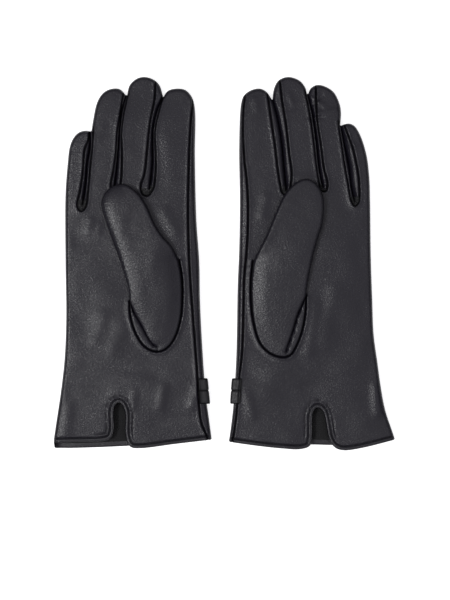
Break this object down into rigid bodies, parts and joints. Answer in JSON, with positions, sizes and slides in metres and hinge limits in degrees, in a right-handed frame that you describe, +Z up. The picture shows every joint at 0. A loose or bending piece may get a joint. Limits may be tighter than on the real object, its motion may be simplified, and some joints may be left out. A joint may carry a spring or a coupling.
{
  "type": "leather dress gloves",
  "caption": "Pair of plain dark smooth leather dress gloves lying palm up, with thumbs laid on the palms, a bound keyhole vent at each wrist and a flat leather bow at the side seam.",
  "frame": {"origin": "middle of the pair's footprint, on the surface that the gloves lie on", "axes": "+X across the pair from the right-hand glove to the left-hand glove, +Y towards the fingertips, +Z up out of the palms"},
  "size_m": [0.234, 0.2557, 0.0188],
  "materials": {
    "leather": "smooth satin nappa",
    "binding": "smooth satin nappa, rolled edge",
    "bow": "smooth satin nappa",
    "lining": "fine brushed knit"
  },
  "bodies": {
    "right_hand": {"right_palm_panel": "leather", "right_back_panel": "leather", "right_side_folds": "leather", "right_fourchette_ends": "leather", "right_quirks": "leather", "right_hand_lining": "lining", "right_hem_binding": "binding", "right_vent_binding": "binding", "right_thumb_gusset": "leather", "right_bow_band": "bow", "right_bow_keeper": "bow"},
    "right_little": {"right_little_leather": "leather", "right_little_fourchettes": "leather", "right_little_lining": "lining"},
    "right_ring": {"right_ring_leather": "leather", "right_ring_fourchettes": "leather", "right_ring_lining": "lining"},
    "right_middle": {"right_middle_leather": "leather", "right_middle_fourchettes": "leather", "right_middle_lining": "lining"},
    "right_index": {"right_index_leather": "leather", "right_index_fourchettes": "leather", "right_index_lining": "lining"},
    "right_thumb": {"right_thumb_leather": "leather", "right_thumb_lining": "lining"},
    "left_hand": {"left_palm_panel": "leather", "left_back_panel": "leather", "left_side_folds": "leather", "left_fourchette_ends": "leather", "left_quirks": "leather", "left_hand_lining": "lining", "left_hem_binding": "binding", "left_vent_binding": "binding", "left_thumb_gusset": "leather", "left_bow_band": "bow", "left_bow_keeper": "bow"},
    "left_little": {"left_little_leather": "leather", "left_little_fourchettes": "leather", "left_little_lining": "lining"},
    "left_ring": {"left_ring_leather": "leather", "left_ring_fourchettes": "leather", "left_ring_lining": "lining"},
    "left_middle": {"left_middle_leather": "leather", "left_middle_fourchettes": "leather", "left_middle_lining": "lining"},
    "left_index": {"left_index_leather": "leather", "left_index_fourchettes": "leather", "left_index_lining": "lining"},
    "left_thumb": {"left_thumb_leather": "leather", "left_thumb_lining": "lining"}
  },
  "joints": [
    {"name": "right_little_bend", "type": "hinge", "parent": "right_hand", "child": "right_little", "pos_m": [-0.1009, 0.0562, 0.01], "axis": [0.9969, -0.0785, 0], "range_deg": [0, 85]},
    {"name": "right_ring_bend", "type": "hinge", "parent": "right_hand", "child": "right_ring", "pos_m": [-0.0833, 0.0642, 0.01], "axis": [0.9952, -0.0976, 0], "range_deg": [0, 85]},
    {"name": "right_middle_bend", "type": "hinge", "parent": "right_hand", "child": "right_middle", "pos_m": [-0.0608, 0.0642, 0.01], "axis": [0.9934, -0.1149, 0], "range_deg": [0, 85]},
    {"name": "right_index_bend", "type": "hinge", "parent": "right_hand", "child": "right_index", "pos_m": [-0.0336, 0.0642, 0.01], "axis": [0.9976, -0.0698, 0], "range_deg": [0, 85]},
    {"name": "right_thumb_lift", "type": "hinge", "parent": "right_hand", "child": "right_thumb", "pos_m": [-0.048, -0.0098, 0.0188], "axis": [0.9455, 0.3256, 0], "range_deg": [0, 60]},
    {"name": "left_little_bend", "type": "hinge", "parent": "left_hand", "child": "left_little", "pos_m": [0.0944, 0.0582, 0.01], "axis": [0.9877, 0.1564, 0], "range_deg": [0, 85]},
    {"name": "left_ring_bend", "type": "hinge", "parent": "left_hand", "child": "left_ring", "pos_m": [0.0768, 0.0642, 0.01], "axis": [0.9903, 0.1392, 0], "range_deg": [0, 85]},
    {"name": "left_middle_bend", "type": "hinge", "parent": "left_hand", "child": "left_middle", "pos_m": [0.0544, 0.0642, 0.01], "axis": [0.9925, 0.1219, 0], "range_deg": [0, 85]},
    {"name": "left_index_bend", "type": "hinge", "parent": "left_hand", "child": "left_index", "pos_m": [0.0266, 0.0642, 0.01], "axis": [0.999, 0.0454, 0], "range_deg": [0, 85]},
    {"name": "left_thumb_lift", "type": "hinge", "parent": "left_hand", "child": "left_thumb", "pos_m": [0.039, -0.0098, 0.0188], "axis": [0.9744, -0.225, 0], "range_deg": [0, 60]},
    {"name": "glove_spacing", "type": "slide", "parent": "right_hand", "child": "left_hand", "axis": [1, 0, 0], "range_m": [0, 0.1]}
  ]
}
